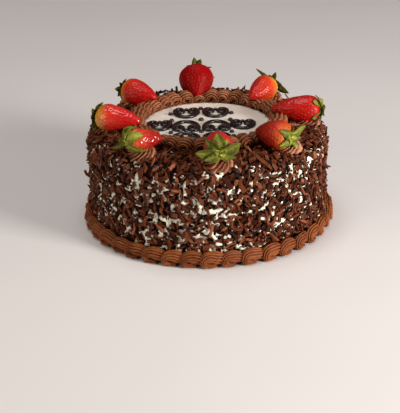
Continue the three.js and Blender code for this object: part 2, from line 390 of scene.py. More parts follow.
def coat_point(theta, s, h=0.0):
    r, z, a = coat(s)
    rr = r + h * np.cos(a)
    return np.stack([rr * np.cos(theta), rr * np.sin(theta), z + h * np.sin(a)], -1)


def wave(theta, s):
    """Slow unevenness of the coat, in mm."""
    p = np.stack([np.cos(theta) * 3.1, np.sin(theta) * 3.1, np.asarray(s) / 26.0], -1)
    return 0.55 * noise(p * 1.6, 5) + 0.3 * noise(p * 3.7, 6)


# where the rosettes sit: azimuth, distance from the axis, radius
ROSETTES = {
    "a": (-85, 96.6, 12.6), "b": (-42.5, 93.8, 12.0), "c": (0.5, 93, 12.8), "d": (47, 93, 12.8),
    "e": (96, 93, 12.8), "f": (140.5, 93, 12.8), "g": (-177, 93, 12.8), "h": (-129, 93, 13.2),
}


def cream_wanted(theta, s):
    """Share of the coat where cream shows between the flakes: most over the middle of the front, little at the shoulder."""
    az = (np.degrees(theta) + 180) % 360 - 180
    round_ = np.interp(az, [-180, -155, -137, -122, -107, -92, -75, -60, -48, -34, -18, 10, 50, 90, 140, 180], [1.3, 1.8, 1.2, 1.2, 1.25, 1.8, 1.05, 0.82, 0.85, 0.6, 1.25, 0.9, 1.0, 1.1, 1.0, 1.2])
    up = np.interp(s, [0, 5, 14, S_SIDE - 14, S_SIDE - 4, S_SIDE + 4, S_SIDE + 9, S_SIDE + 14], [1.1, 1.05, 1.0, 1.0, 0.95, 0.7, 0.3, 0.08])
    return 0.128 * round_ * up


CELL, BLOCK = 0.9, 14
COLS = int(TAU * WALL_R / CELL) // BLOCK * BLOCK
ROWS = (int(S_ALL / CELL) + BLOCK) // BLOCK * BLOCK
TH_MID = (np.arange(COLS) + 0.5) / COLS * TAU
S_MID = (np.arange(ROWS) + 0.5) * CELL


def patches(theta, s):
    """Noise that says where the cream wells up between the flakes."""
    p = coat_point(theta, np.clip(s, 0, S_ALL))
    return noise(p / 3.9, 51) + 0.80 * noise(p / 1.9, 52)


SORTED_PATCHES = np.sort(patches(TH_MID[None] + 0 * S_MID[:, None], S_MID[:, None] + 0 * TH_MID[None]).ravel())


def welling(theta, s):
    """Above 0 where cream wells up, over a larger share of the coat than what shows between the flakes."""
    share = np.clip(CREAM_ZONE * cream_wanted(theta, s), 0, 0.9)
    return patches(theta, s) - np.interp(1 - share, np.linspace(0, 1, len(SORTED_PATCHES)), SORTED_PATCHES)


def cream_rise(f):
    return 2.15 * smooth(0.0, 0.30, f)


CREAM_ZONE = 2.25


def lay_flakes():
    """Scatters flakes over the coat one after another, each lying on what is already there."""
    rng = np.random.default_rng(41)
    field = welling(TH_MID[None] + 0 * S_MID[:, None], S_MID[:, None] + 0 * TH_MID[None])
    zone = field > 0
    height = cream_rise(field).astype(np.float32)
    covered = np.zeros((ROWS, COLS), bool)
    # the rosettes under the berries sit on the coat, so only thin flakes lie there
    z_mid = coat(S_MID)[1]
    clear = np.zeros((ROWS, COLS), bool)
    pts = coat_point(TH_MID[None] + 0 * S_MID[:, None], S_MID[:, None] + 0 * TH_MID[None])
    for az, at, size in ROSETTES.values():
        c = polar(az, at, 0)
        clear |= (np.hypot(pts[..., 0] - c[0], pts[..., 1] - c[1]) < size - 0.8) & (z_mid[:, None] > 82)
    clear |= (np.hypot(pts[..., 0], pts[..., 1]) < 74.5) & (z_mid[:, None] > 84)
    kinds = {"curl": [], "stick": [], "roll": [], "shard": [], "crumb": []}
    k = np.linspace(-0.48, 0.48, 11)
    q = np.array([-0.42, -0.14, 0.14, 0.42])

    def put(kind, th, s, L, w, t, limit, sink, stand=0.0, keep=0.0):
        r = float(coat(s)[0])
        al = rng.uniform(0, math.pi)
        if rng.uniform() < 0.3:
            al = rng.normal(math.pi / 2, 0.45)
        ca, sa = math.cos(al), math.sin(al)
        du = k[:, None] * L * ca - q[None] * w * sa
        dv = k[:, None] * L * sa + q[None] * w * ca
        ss = s + dv
        if ss.min() < 0.2 or ss.max() > S_ALL + 2:
            return False
        ci = ((th + du / r) / TAU * COLS).astype(int) % COLS
        ri = np.minimum((ss / CELL).astype(int), ROWS - 1)
        h = height[ri, ci]
        on = clear[ri, ci].mean()
        if on > 0.25 and (kind in ("curl", "roll") or on > 0.5 and rng.uniform() < 0.75 or float(h.max()) > 0.8):
            return False
        lo, mid, hi = float(h[:4].max()), float(h[4:7].max()), float(h[7:].max())
        if (lo + hi) / 2 > limit or mid > limit + 0.7:
            return False
        if keep and rng.uniform() < keep * min(1.0, 1.85 * float(zone[ri, ci].mean())):
            return False
        tilt = math.atan2(hi - lo, 0.75 * L) + rng.normal(0, 0.14) + stand
        tilt = max(-0.85, min(0.85, tilt))
        base = max((lo + hi) / 2, mid - 0.6) - sink + 0.32 * L * abs(math.sin(stand))
        base = max(base, -0.1)
        line = base + t + np.tan(tilt) * k * L
        height[ri, ci] = np.maximum(h, line[:, None].astype(np.float32))
        covered[ri, ci] = True
        kinds[kind].append((th, s, al, tilt, rng.normal(0, 0.3), base + t / 2, L, w, t))
        return True

    def anywhere(low=0.5):
        while True:
            s = rng.uniform(low, S_ALL + 1)
            if rng.uniform() < coat(s)[0] / WALL_R:
                return rng.uniform(0, TAU), s

    def draw(mean, spread, least):
        return max(least, rng.normal(mean, spread))

    def roll(limit, keep):
        w = draw(2.9, 0.5, 1.9)
        put("roll", *anywhere(), draw(8.6, 2.0, 4.5), w, 0.85 * w, limit, 0.45, 0.0, keep)

    for _ in range(1500):
        roll(1.4, 0.5)
    for _ in range(1700):
        put("stick", *anywhere(), draw(8.8, 2.1, 4.0), draw(3.0, 0.55, 1.7), draw(1.1, 0.2, 0.7), 2.0, 0.25, 0.0, 0.5)
    for _ in range(1300):
        roll(2.5, 0.5)
    for _ in range(1900):
        put("curl", *anywhere(), draw(9.8, 2.2, 5.0), draw(3.1, 0.55, 1.7), draw(0.95, 0.16, 0.6), 2.9, 0.3, 0.0, 0.5)
    for _ in range(1900):
        if rng.uniform() < 0.45:
            roll(3.1, 0.5)
        else:
            stand = rng.choice([-1, 1]) * rng.uniform(0.25, 0.8) if rng.uniform() < 0.35 else 0.0
            put("stick", *anywhere(), draw(8.6, 2.4, 4.0), draw(2.8, 0.55, 1.6), draw(1.15, 0.22, 0.7), 3.4, 0.3, stand, 0.5)
    # then shorter ones into the bare places outside the cream, until no more is bare than should be
    inside = S_MID < S_ALL + 1
    want = BARE
    for sweep in range(4):
        bare = ~covered & inside[:, None] & (~zone | (rng.uniform(size=zone.shape) < 0.04))
        share = bare.reshape(ROWS // BLOCK, BLOCK, COLS // BLOCK, BLOCK).mean((1, 3))
        where = np.argwhere(bare)
        rng.shuffle(where)
        for i, j in where:
            bi, bj = i // BLOCK, j // BLOCK
            if covered[i, j] or share[bi, bj] <= want:
                continue
            if rng.uniform() < 0.3:
                done = put("stick", TH_MID[j], S_MID[i], draw(6.8, 1.3, 3.8), draw(2.5, 0.4, 1.4), draw(1.0, 0.18, 0.6), 3.2, 0.2, 0.0, 0.7)
            else:
                done = put("shard", TH_MID[j], S_MID[i], draw(5.2, 1.2, 2.6), draw(2.2, 0.45, 1.1), draw(0.95, 0.2, 0.45), 3.4, 0.15, 0.0, 0.7)
            if done:
                block = (slice(bi * BLOCK, (bi + 1) * BLOCK), slice(bj * BLOCK, (bj + 1) * BLOCK))
                share[bi, bj] = (~covered[block] & ~zone[block]).mean()
    print("bare", round(float((~covered & ~zone)[inside].mean()), 3), "cream zone", round(float(zone[inside].mean()), 3), "cream shown", round(float((~covered & zone)[inside].mean()), 3))
    for _ in range(6500):
        th, s = anywhere(S_SIDE - 20 if rng.uniform() < 0.3 else 0.5)
        i, j = min(int(s / CELL), ROWS - 1), int(th / TAU * COLS) % COLS
        if zone[i, j] and not covered[i, j] and rng.uniform() < 0.45:
            continue
        put("crumb", th, s, rng.uniform(1.3, 3.3), rng.uniform(0.8, 1.9), rng.uniform(0.5, 1.1), 3.4, 0.15)
    print({k: len(v) for k, v in kinds.items()})
    return kinds


# Share of the coat left bare between the flakes, where the near-black crumb colour stands in as painted shade.
BARE = 0.19


def onto_coat(rows, x, y, z):
    """Takes shapes lying along x, across y and up z, (flakes, stations, points), to their places on the coat."""
    th, s, al, tilt, _, h = rows.T[:6]
    ct, st = np.cos(tilt)[:, None, None], np.sin(tilt)[:, None, None]
    x, z = x * ct - z * st, x * st + z * ct
    slope = coat(s)[2]
    rad_dir = np.stack([np.cos(th), np.sin(th), 0 * th], -1)
    t1 = np.stack([-np.sin(th), np.cos(th), 0 * th], -1)
    up = np.array([0, 0, 1.0])
    nrm = rad_dir * np.cos(slope)[:, None] + up * np.sin(slope)[:, None]
    t2 = up * np.cos(slope)[:, None] - rad_dir * np.sin(slope)[:, None]
    ex = t1 * np.cos(al)[:, None] + t2 * np.sin(al)[:, None]
    ey = np.cross(nrm, ex)
    o = coat_point(th, s, h + wave(th, s))
    co = o[:, None, None] + x[..., None] * ex[:, None, None] + y[..., None] * ey[:, None, None] + z[..., None] * nrm[:, None, None]
    co[..., 2] = np.maximum(co[..., 2], FOOT_Z - 0.5)
    return co


def flake_tone_and_depth_shade(rows, rng, shape):
    """Each flake's tone differs at random; flakes lying deeper in the heap are painted darker, as painted shade, and
    higher ones paler, as painted light.
    """
    n = len(rows)
    tone = rng.normal(0.40, 0.20, n) + 0.15 * (rows[:, 5] - 1.8)
    return tone[:, None, None] + rng.normal(0, 0.06, shape)


def roll_mesh(name, rows, seed, stations=3, around=8):
    """Shavings that have rolled themselves up: a thin sheet bent into a tube with its seam open or nearly shut."""
    rng = np.random.default_rng(seed)
    a = np.array(rows)
    n = len(a)
    L, w = a[:, 6, None, None], a[:, 7, None, None]
    span = np.radians(rng.uniform(150, 335, (n, 1, 1)))
    first = rng.uniform(0, TAU, (n, 1, 1))
    f = np.linspace(0, 1, around)[None, None, :]
    u = np.linspace(-1, 1, stations)[None, :, None]
    turn = first + span * f * (1 + rng.uniform(-0.12, 0.12, (n, stations, 1))) + rng.normal(0, 0.12, (n, stations, 1))
    size = w / 2 * (1 - rng.uniform(0.0, 0.3, (n, 1, 1)) * f) * (1 + rng.uniform(-0.16, 0.16, (n, stations, 1)))
    wall = rng.uniform(0.5, 0.85, (n, 1, 1)) * (1 - 0.4 * np.abs(2 * f - 1) ** 4)
    inner = np.maximum(size - wall, 0.2)
    y = np.concatenate([size * np.cos(turn), (inner * np.cos(turn))[..., ::-1]], -1)
    z = np.concatenate([size * np.sin(turn), (inner * np.sin(turn))[..., ::-1]], -1)
    y = y + rng.uniform(-0.09, 0.09, y.shape) + rng.normal(0, 0.022, (n, 1, 1)) * (u * L / 2) ** 2
    z = z + rng.uniform(-0.09, 0.09, z.shape)
    both = np.concatenate([turn, turn[..., ::-1]], -1)
    x = u * L / 2 + np.abs(u) * (rng.uniform(-0.9, 0.9, (n, 1, 1)) * np.cos(both - rng.uniform(0, TAU, (n, 1, 1))) + rng.uniform(-0.45, 0.45, y.shape))
    co = onto_coat(a, x, y, z)
    m = 2 * around
    quads = []
    for i in range(stations - 1):
        for j in range(m):
            k = (j + 1) % m
            quads.append([i * m + j, i * m + k, (i + 1) * m + k, (i + 1) * m + j])
    e = (stations - 1) * m
    for j in range(around - 1):
        end = [j, j + 1, m - 2 - j, m - 1 - j]
        quads.append([e + v for v in end])
        quads.append(end[::-1])
    quads = np.array(quads)
    allq = (quads[None] + (np.arange(n) * stations * m)[:, None, None]).reshape(-1, 4)
    within = np.concatenate([np.zeros(around), np.ones(around)])[None, None]
    lip = np.tile(np.abs(2 * np.linspace(0, 1, around) - 1) ** 6, 2)[None, None]
    # The inner face of each roll is painted darker, as painted shade inside the tube; the rims of the sheet are paler.
    tone = flake_tone_and_depth_shade(a, rng, y.shape) - 0.12 * within + 0.10 * lip
    soup = Soup()
    soup.add(co.reshape(-1, 3), allq, None, np.clip(tone, 0, 1).reshape(-1))
    arc = both * w / 2
    flow = np.stack([arc * 0.3, x * 2.4, 0 * x], -1) + rng.uniform(0, 400, (n, 1, 1, 3))
    soup.flow.append(flow.reshape(-1, 3))
    return soup.make(name, FLAKE, crease=42)


def flake_mesh(name, rows, stations, bendy, seed, corners=4):
    rng = np.random.default_rng(seed)
    a = np.array(rows)
    n = len(a)
    th, s, al, tilt, roll, h, L, w, t = a.T
    x = np.linspace(-0.5, 0.5, stations)[None] * L[:, None]
    u = 2 * x / L[:, None]
    left = 1 - rng.uniform(0.0, 0.4, (n, 1)) * u**4 * (u * rng.choice([-1.0, 1.0], (n, 1)) > -0.2) + rng.uniform(-0.13, 0.13, (n, stations))
    right = 1 - rng.uniform(0.0, 0.4, (n, 1)) * u**4 * (u * rng.choice([-1.0, 1.0], (n, 1)) > -0.2) + rng.uniform(-0.13, 0.13, (n, stations))
    half = w[:, None] / 2
    thick = t[:, None] / 2 * (1 - rng.uniform(0.0, 0.4, (n, 1)) * u**4) * (1 + rng.uniform(-0.18, 0.18, (n, stations)))
    skew = rng.uniform(-0.6, 0.6, (n, 1)) * w[:, None]
    # corners of each station, seen along the flake: along the underside from right to left, then back over the top
    if corners == 4:
        y = np.stack([-half * right, half * left, half * left, -half * right], -1)
        z = np.stack([-thick, -thick, thick, thick], -1)
        cup = rng.uniform(-0.3, 0.75, (n, 1)) * w[:, None] * 0.3
    else:
        mid = rng.uniform(-0.35, 0.35, (n, 1)) * half
        y = np.stack([-half * right, mid + 0 * left, half * left, half * left, mid + 0 * left, -half * right], -1)
        z = np.stack([-thick, -thick, -thick, thick, 1.15 * thick, thick], -1)
        cup = np.where(rng.uniform(size=(n, 1)) < 0.7, rng.uniform(0.25, 1.1, (n, 1)), rng.uniform(-0.9, -0.3, (n, 1))) * w[:, None] * 0.3
    y = y + rng.uniform(-0.1, 0.1, y.shape)
    z = z + rng.uniform(-0.08, 0.08, z.shape)
    z = z + cup[..., None] * ((np.abs(y) / np.maximum(half[..., None], 0.1)) ** 2 - 0.4)
    xx = x[..., None] + skew[..., None] * (y / w[:, None, None]) + rng.uniform(-0.5, 0.5, y.shape) * (np.abs(u) > 0.98)[..., None]
    if bendy:
        turn = rng.choice([-1.0, 1.0], n, p=[0.45, 0.55]) * rng.uniform(0.4, 3.2, n)  # whole bend in radians
    else:
        turn = rng.normal(0, 0.4, n)
    turn = np.where(np.abs(turn) < 0.04, 0.04, turn)
    rad = (L / np.abs(turn))[:, None, None]
    sg = np.sign(turn)[:, None, None]
    phi = xx / rad
    x2 = (rad - sg * z) * np.sin(phi)
    z2 = sg * (rad - (rad - sg * z) * np.cos(phi))
    rise = rad * (1 - np.cos(L[:, None, None] / 2 / rad)) * 0.75
    z = np.where(sg > 0, z2, z2 + rise)
    xx = x2
    tw = rng.normal(0, 0.13, (n, 1, 1)) * xx * (1.0 if bendy else 0.7) + roll[:, None, None]
    y, z = y * np.cos(tw) - z * np.sin(tw), y * np.sin(tw) + z * np.cos(tw)
    flow = np.stack([x[..., None] * 0.3 + 0 * y, y * 2.4, z * 2.4], -1) + rng.uniform(0, 400, (n, 1, 1, 3))
    co = onto_coat(a, xx, y, z)
    per = stations * corners
    quads, tris = [], []
    for i in range(stations - 1):
        for j in range(corners):
            k = (j + 1) % corners
            quads.append([i * corners + j, (i + 1) * corners + j, (i + 1) * corners + k, i * corners + k])
    e = (stations - 1) * corners
    if corners == 4:
        quads += [[0, 1, 2, 3], [e + 3, e + 2, e + 1, e]]
    else:
        quads += [[0, 1, 4, 5], [1, 2, 3, 4], [e + 5, e + 4, e + 1, e], [e + 4, e + 3, e + 2, e + 1]]
    quads = np.array(quads)[:, ::-1]
    allq = (quads[None] + (np.arange(n) * per)[:, None, None]).reshape(-1, 4)
    tone = flake_tone_and_depth_shade(a, rng, y.shape)
    soup = Soup()
    soup.add(co.reshape(-1, 3), allq, None, np.clip(tone, 0, 1).reshape(-1))
    soup.flow.append(flow.reshape(-1, 3))
    return soup.make(name, FLAKE, crease=38)


kinds = lay_flakes()
roll_mesh("flakes_rolled", kinds["roll"], 70)
flake_mesh("flakes_curled", kinds["curl"], 8, True, 71)
flake_mesh("flakes_flat", kinds["stick"], 5, False, 72, 6)
flake_mesh("flakes_short", kinds["shard"], 4, False, 73)
flake_mesh("flakes_crumb", kinds["crumb"], 2, False, 74)


def make_core():
    m = 600
    th = np.arange(m) / m * TAU
    rings = []
    tones = []
    for r in (60, 100, 106.4):
        rings.append(np.stack([r * np.cos(th), r * np.sin(th), np.zeros(m)], -1))
        tones.append(np.ones(m))
    for z in (0.8, 5, 10):
        rings.append(np.stack([107.0 * np.cos(th), 107.0 * np.sin(th), np.full(m, z)], -1))
        tones.append(np.ones(m))
    for s in np.linspace(0, S_ALL, 100):
        at = np.full(m, s)
        p = coat_point(th, at)
        f = welling(th, at)
        lump = 0.4 * noise(p / 5.5, 11) + 0.3 * noise(p / 2.4, 12) + wave(th, at) + cream_rise(f) * (1 + 0.35 * noise(p / 1.9, 13))
        rings.append(coat_point(th, at, lump))
        # Where no cream wells up, the coat takes the near-black crumb colour, partly painted shade for the gaps between
        # the flakes.
        tones.append(np.clip(0.5 - 1.6 * f, 0, 1))
    rings.append(np.stack([(TOP_IN - 0.5) * np.cos(th), (TOP_IN - 0.5) * np.sin(th), np.full(m, 87.0)], -1))
    tones.append(np.full(m, 1.0))
    for r in (50, 20):
        rings.append(np.stack([r * np.cos(th), r * np.sin(th), np.full(m, 87.0)], -1))
        tones.append(np.full(m, 1.0))
    soup = Soup()
    soup.shell(np.array(rings), [0, 0, 0], [0, 0, 87.0])
    soup.tone[-1] = np.concatenate([np.array(tones).ravel(), [1.0, 1.0]])
    return soup.make("cake_core", CREAM, ["cake_body"])


make_core()

# ------------------------------------------------------------------------------------------------ foot border

def bend(points, per):
    """A smooth line through rows of numbers (Catmull-Rom), per steps for each stretch."""
    p = np.array(points, float)
    p = np.concatenate([[2 * p[0] - p[1]], p, [2 * p[-1] - p[-2]]])
    u = np.linspace(0, 1, per, endpoint=False)[:, None]
    out = []
    for i in range(1, len(p) - 2):
        a, b, c, d = p[i - 1], p[i], p[i + 1], p[i + 2]
        out.append(0.5 * (2 * b + (c - a) * u + (2 * a - 5 * b + 4 * c - d) * u**2 + (3 * b - a - 3 * c + d) * u**3))
    return np.concatenate(out + [p[-2][None]])


def piped_shell(soup, way, heart, th, size, ridges, depth, tone, sink, seed, rng, stand=0.0):
    """One shell of a piped border. Each row of way says where the nozzle is, along the border, up and out from the
    axis, and the icing's half thickness there, in the border's own upright plane and out from the axis. The icing wells
    out beside its heart, curls round it and runs on under the head of the next shell. th is the shell's azimuth."""
    way = np.array(way, float)
    way[:, :2] = (way[:, :2] - heart) * size + heart
    way[:, 3:] *= size
    way[:, 0] += rng.normal(0, 0.3)
    way[1:, :3] += rng.normal(0, 0.2, (len(way) - 1, 3))
    s, z, r, a, wide = bend(way, 4).T
    a, wide = np.maximum(a, 0.3), np.maximum(wide, 0.3)
    rad = np.array([math.cos(th), math.sin(th), 0])
    tang = np.array([-math.sin(th), math.cos(th), 0])
    up = np.array([0, 0, 1.0])
    path = r[:, None] * rad + s[:, None] * tang + z[:, None] * up
    n = len(path)
    tan = unit(np.gradient(path, axis=0))
    e1 = unit(rad - (tan @ rad)[:, None] * tan)
    e2 = np.cross(tan, e1)  # towards the heart
    within = np.minimum(a, 0.97 * np.hypot(s - heart[0], z - heart[1]))
    per = 4
    m = ridges * per
    b = np.arange(m) / m * TAU
    low = (1 - np.abs(np.cos(ridges * b / 2)) ** 1.1)[None]
    ang = b[None] + 0.12 * noise(np.stack([np.arange(n) / 7.0, 0 * s, 0 * s + seed], -1), 41)[:, None]
    uneven = 1 + 0.3 * noise(np.stack([b[None] / TAU * ridges + 0 * ang, np.arange(n)[:, None] / 8.0 + 0 * ang, 0 * ang + seed], -1), 77)
    cut = 1 - depth * low * uneven
    height = np.where(np.sin(ang) > 0, within[:, None], a[:, None])
    co = path[:, None] + (cut * wide[:, None] * np.cos(ang))[..., None] * e1[:, None] + (cut * height * np.sin(ang))[..., None] * e2[:, None]
    co = co + 0.30 * np.stack([noise(co / 2.1, seed + k) for k in range(3)], -1) + 0.21 * np.stack([noise(co / 1.0, seed + 5 + k) for k in range(3)], -1)
    # The grooves between the ridges are painted darker by sink, as painted shade in them.
    shade = np.clip(tone - sink * low * uneven + 0 * ang + 0.1 * sink * noise(co / 2.2, seed + 9), 0, 1)
    i0 = len(soup.tone)
    soup.shell(co, co[0].mean(0), co[-1].mean(0) + tan[-1] * 0.4)
    soup.tone[i0] = np.concatenate([shade.ravel(), [tone - sink, tone]])


FOOT_HEART = (-1.4, 4.1)
FOOT_SHELL = [
    (5.6, 1.6, 114.9, 1.3, 1.6),
    (1.6, 1.7, 115.4, 1.7, 2.2),
    (-2.0, 2.1, 115.8, 2.1, 2.8),
    (-4.6, 3.3, 115.7, 2.9, 3.5),
    (-5.0, 5.9, 115.0, 4.0, 4.3),
    (-2.9, 8.3, 114.2, 5.4, 5.0),
    (1.5, 9.0, 113.5, 6.0, 5.4),
    (6.4, 8.3, 112.7, 6.0, 5.0),
    (10.8, 7.2, 111.7, 4.9, 4.0),
    (14.2, 6.4, 110.7, 3.2, 2.7),
]
SHELLS = 40


def foot_border():
    rng = np.random.default_rng(8)
    soup = Soup()
    for i in range(SHELLS):
        th = TAU * (i + rng.uniform(-0.05, 0.05)) / SHELLS
        # 0.80 is how much darker the grooves are painted, as painted shade.
        piped_shell(soup, FOOT_SHELL, FOOT_HEART, th, rng.uniform(0.93, 1.05), 12, 0.36, float(rng.uniform(0.62, 0.90)), 0.80, i, rng)
    for c in soup.co:
        c[:, 2] = np.where(c[:, 2] < 0.6, 0.1 + 0.5 * np.exp((c[:, 2] - 0.6) / 1.5), c[:, 2])
        r = np.hypot(c[:, 0], c[:, 1])
        c[:, :2] *= (np.minimum(r, 120.4) / r)[:, None]
    return soup.make("foot_shells", BUTTER_FOOT, ["foot_border"])


foot_border()

# ------------------------------------------------------------------------------------------------ ring of swirls on the top

RING_HEART = (0.5, 5.4)
RING_SHELL = [
    (4.4, 2.2, 66.6, 2.3, 4.0),
    (1.4, 1.5, 66.6, 3.0, 6.0),
    (-1.9, 2.2, 66.5, 3.4, 7.4),
    (-3.7, 5.0, 66.4, 3.5, 8.2),
    (-2.6, 8.2, 66.3, 3.7, 8.6),
    (0.6, 9.5, 66.2, 4.0, 8.6),
    (3.9, 8.3, 66.2, 4.1, 8.2),
    (5.6, 5.6, 66.2, 4.0, 7.2),
    (7.6, 3.2, 66.2, 3.4, 5.6),
    (10.2, 1.6, 66.2, 2.4, 4.2),
]
RING_SHELLS = 32
BERRY_TIPS = (-84.5, -52, 4.5, 43, 97.5, 139, -161, -121.5)


def top_ring():
    rng = np.random.default_rng(19)
    soup = Soup()
    for i in range(RING_SHELLS):
        az = 360 * (i + 0.5 + rng.uniform(-0.07, 0.07)) / RING_SHELLS
        near = min(abs((az + 3 - t + 180) % 360 - 180) for t in BERRY_TIPS)
        way = np.array(RING_SHELL)
        way[:, 1] += 88.2
        low = 1 - 0.22 * float(smooth(7.0, 2.0, near))
        way[:, 1] = 88.2 + (way[:, 1] - 88.2) * low
        way[:, 3] *= 0.5 + 0.5 * low
        heart = (RING_HEART[0], 88.2 + RING_HEART[1] * low)
        way[:, 4] *= rng.uniform(0.95, 1.04)
        # Shells on the back half of the ring (azimuths 0 to 180) are painted paler, as painted light where the ring is
        # lit more; 0.95 darkens the grooves as painted shade.
        piped_shell(soup, way, heart, math.radians(az), rng.uniform(0.93, 1.04), 10, 0.38, float(rng.uniform(0.56, 0.78)) + 0.20 * max(0.0, math.sin(math.radians(az))), 0.95, 60 + i, rng)
    for c in soup.co:
        c[:, 2] = np.maximum(c[:, 2], 87.2)
    return soup.make("top_swirls", BUTTER_TOP, ["swirl_ring"])


top_ring()

# ------------------------------------------------------------------------------------------------ icing disc and its scrolls

DISC_R = 61.0
DISC_Z = 90.3


def disc_height(x, y):
    p = np.stack([x / 26, y / 26, 0 * x], -1)
    return DISC_Z + 0.22 * noise(p, 3) + 0.1 * noise(p * 3.1, 4)


def icing_disc():
    m = 120
    th = np.arange(m) / m * TAU
    edge = 1 + 0.006 * noise(np.stack([np.cos(th) * 3, np.sin(th) * 3, 0 * th], -1), 9)
    rings = [np.stack([(DISC_R - 1) * np.cos(th), (DISC_R - 1) * np.sin(th), np.full(m, 87.2)], -1)]
    for r, dz in ((DISC_R, -2.2), (DISC_R + 0.2, -1.2), (DISC_R - 0.3, -0.45), (DISC_R - 1.2, -0.1)):
        x, y = r * edge * np.cos(th), r * edge * np.sin(th)
        rings.append(np.stack([x, y, disc_height(x, y) + dz], -1))
    for r in np.linspace(DISC_R - 2.5, 2, 26):
        x, y = r * np.cos(th), r * np.sin(th)
        rings.append(np.stack([x, y, disc_height(x, y)], -1))
    soup = Soup()
    soup.shell(np.array(rings), [0, 0, 87.2], [0, 0, float(disc_height(np.array([0.0]), np.array([0.0]))[0])])
    return soup.make("icing_top_disc", ICING, ["icing_disc"])


icing_disc()


def scroll(cx, cy, start, end, r0, r1, n=30):
    """Points of a spiral from angle start to end (degrees) round (cx, cy), its radius going from r0 to r1."""
    a = np.radians(np.linspace(start, end, n))
    r = np.linspace(r0, r1, n)
    return np.stack([cx + r * np.cos(a), cy + r * np.sin(a)], -1)


def lying_scroll(x0, x1, rise, r, inner=1.5, turns=370):
    """A scroll lying on its open side, both its ends rolled inwards."""
    a = np.radians(np.linspace(180, 0, 18))
    arch = np.stack([(x0 + x1) / 2 + (x1 - x0) / 2 * np.cos(a), abs(rise) * np.sin(a)], -1)
    whole = np.concatenate([scroll(x0 + r, 0, 180 + turns, 180, inner, r, 24), arch[1:-1], scroll(x1 - r, 0, 0, -turns, r, inner, 24)])
    return whole * [1, np.sign(rise)]


def scrollwork():
    """Three rows of mirrored scrolls and drops, piped in dark chocolate."""
    soup = Soup()
    rng = np.random.default_rng(23)

    def line(xy, width=1.8):
        xy = np.asarray(xy, float)
        n = len(xy)
        f = np.linspace(0, 1, n)
        a = width * np.minimum(1, 0.62 + 2.2 * np.minimum(f, 1 - f)) * (1 + 0.10 * noise(np.stack([f * n / 3.0, 0 * f, 0 * f + rng.uniform(0, 50)], -1), 2))
        path = np.stack([xy[:, 0], xy[:, 1], disc_height(xy[:, 0], xy[:, 1]) + 1.1], -1)
        tan = unit(np.gradient(path, axis=0))
        side = unit(np.cross(tan, np.array([0, 0, 1.0])))
        b = np.arange(10) / 10 * TAU
        e2 = np.cross(tan, side)
        co = path[:, None] + (a[:, None] * np.cos(b))[..., None] * side[:, None] + (0.85 * a[:, None] * np.sin(b))[..., None] * e2[:, None]
        soup.shell(co, path[0] - tan[0] * 0.5 * width, path[-1] + tan[-1] * 0.5 * width)

    def drop(x, y, r=1.9):
        b = np.arange(14) / 14 * TAU
        k = np.radians(np.linspace(-70, 80, 7))
        z = disc_height(np.array([x]), np.array([y]))[0] + 0.4
        co = np.stack([x + r * np.cos(k)[:, None] * np.cos(b), y + r * np.cos(k)[:, None] * np.sin(b), z + 0.9 * r * np.sin(k)[:, None] + 0 * b], -1)
        soup.shell(co, [x, y, z - r * 0.9], [x, y, z + r * 0.92])

    for sx in (-1, 1):
        # middle row: two scrolls out to each side, the first standing over its ends, the second hanging from them
        def place(points, y, tall):
            return np.array(points) * np.array([sx, tall]) + np.array([-5.5, y])
        line(place(lying_scroll(2.6, 25.6, 10.8, 5.1), -13.0, 1.5), 2.1)
        line(place(lying_scroll(28.4, 49.0, -9.6, 4.7), -2.5, 1.42), 2.05)
        drop(*(place([(14.1, -3.6)], -13.0, 1.5)[0]), r=2.2)
        drop(*(place([(38.7, 4.2)], -2.5, 1.42)[0]), r=2.2)
        drop(*(place([(27.6, 7.6)], -2.5, 1.42)[0]), r=2.5)
        drop(*(place([(27.8, -7.4)], -13.0, 1.42)[0]), r=2.3)
        # back row and front row: one scroll to each side of a middle drop
        for y, flip, tall in ((31.5, -1, 1.5), (-38.0, 1, 1.0)):
            line(place(lying_scroll(2.8, 25.2, 10.2 * flip, 5.0), y, tall), 2.05)
            drop(*(place([(14.0, -3.8 * flip)], y, tall)[0]), r=2.2)
            drop(*(place([(29.0, 3.4 * flip)], y, tall)[0]), r=2.4)
    drop(-5.5, 9.5, 2.7)
    drop(-5.5, -21.5, 2.4)
    drop(-5.5, 40.5, 2.5)
    return soup.make("icing_scrolls", GLOSS)


scrollwork()

# ------------------------------------------------------------------------------------------------ strawberries

# letter, azimuth, radius and height of the leaf end, the same of the tip, largest radius, place of it, fullness
BERRIES = [
    ("a", -84.5, 104, 101.0, -84.5, 66, 105.0, 12.7, 0.58, 0.66),
    ("b", -45.5, 101, 103, -52, 68, 103, 12.9, 0.58, 0.62),
    ("c", 0.5, 105, 102.1, 4.5, 60, 102.2, 12.8, 0.52, 0.60),
    ("d", 47, 94, 105.5, 43, 58, 101, 12.2, 0.58, 0.60),
    ("e", 96, 93, 112, 97.5, 61, 95.5, 17.0, 0.56, 0.68),
    ("f", 140.5, 103, 103.4, 139, 63, 101.6, 12.9, 0.55, 0.62),
    ("g", -177, 101.5, 101.8, -161, 64, 101.4, 12.4, 0.55, 0.62),
    ("h", -134, 101, 102.6, -121.5, 75, 101.4, 10.8, 0.55, 0.62),
]

# ripeness: where along the berry it turns from pale to orange and from orange to red, and how much one side lags
RIPE = {
    "a": (-0.25, 0.30, 0.05), "b": (-0.14, 0.80, 0.12), "c": (-0.35, 0.12, 0.04), "d": (0.02, 0.85, 0.20),
    "e": (-0.45, 0.15, 0.05), "f": (0.08, 0.66, 0.14), "g": (0.06, 0.74, 0.14), "h": (-0.04, 0.80, 0.12),
}

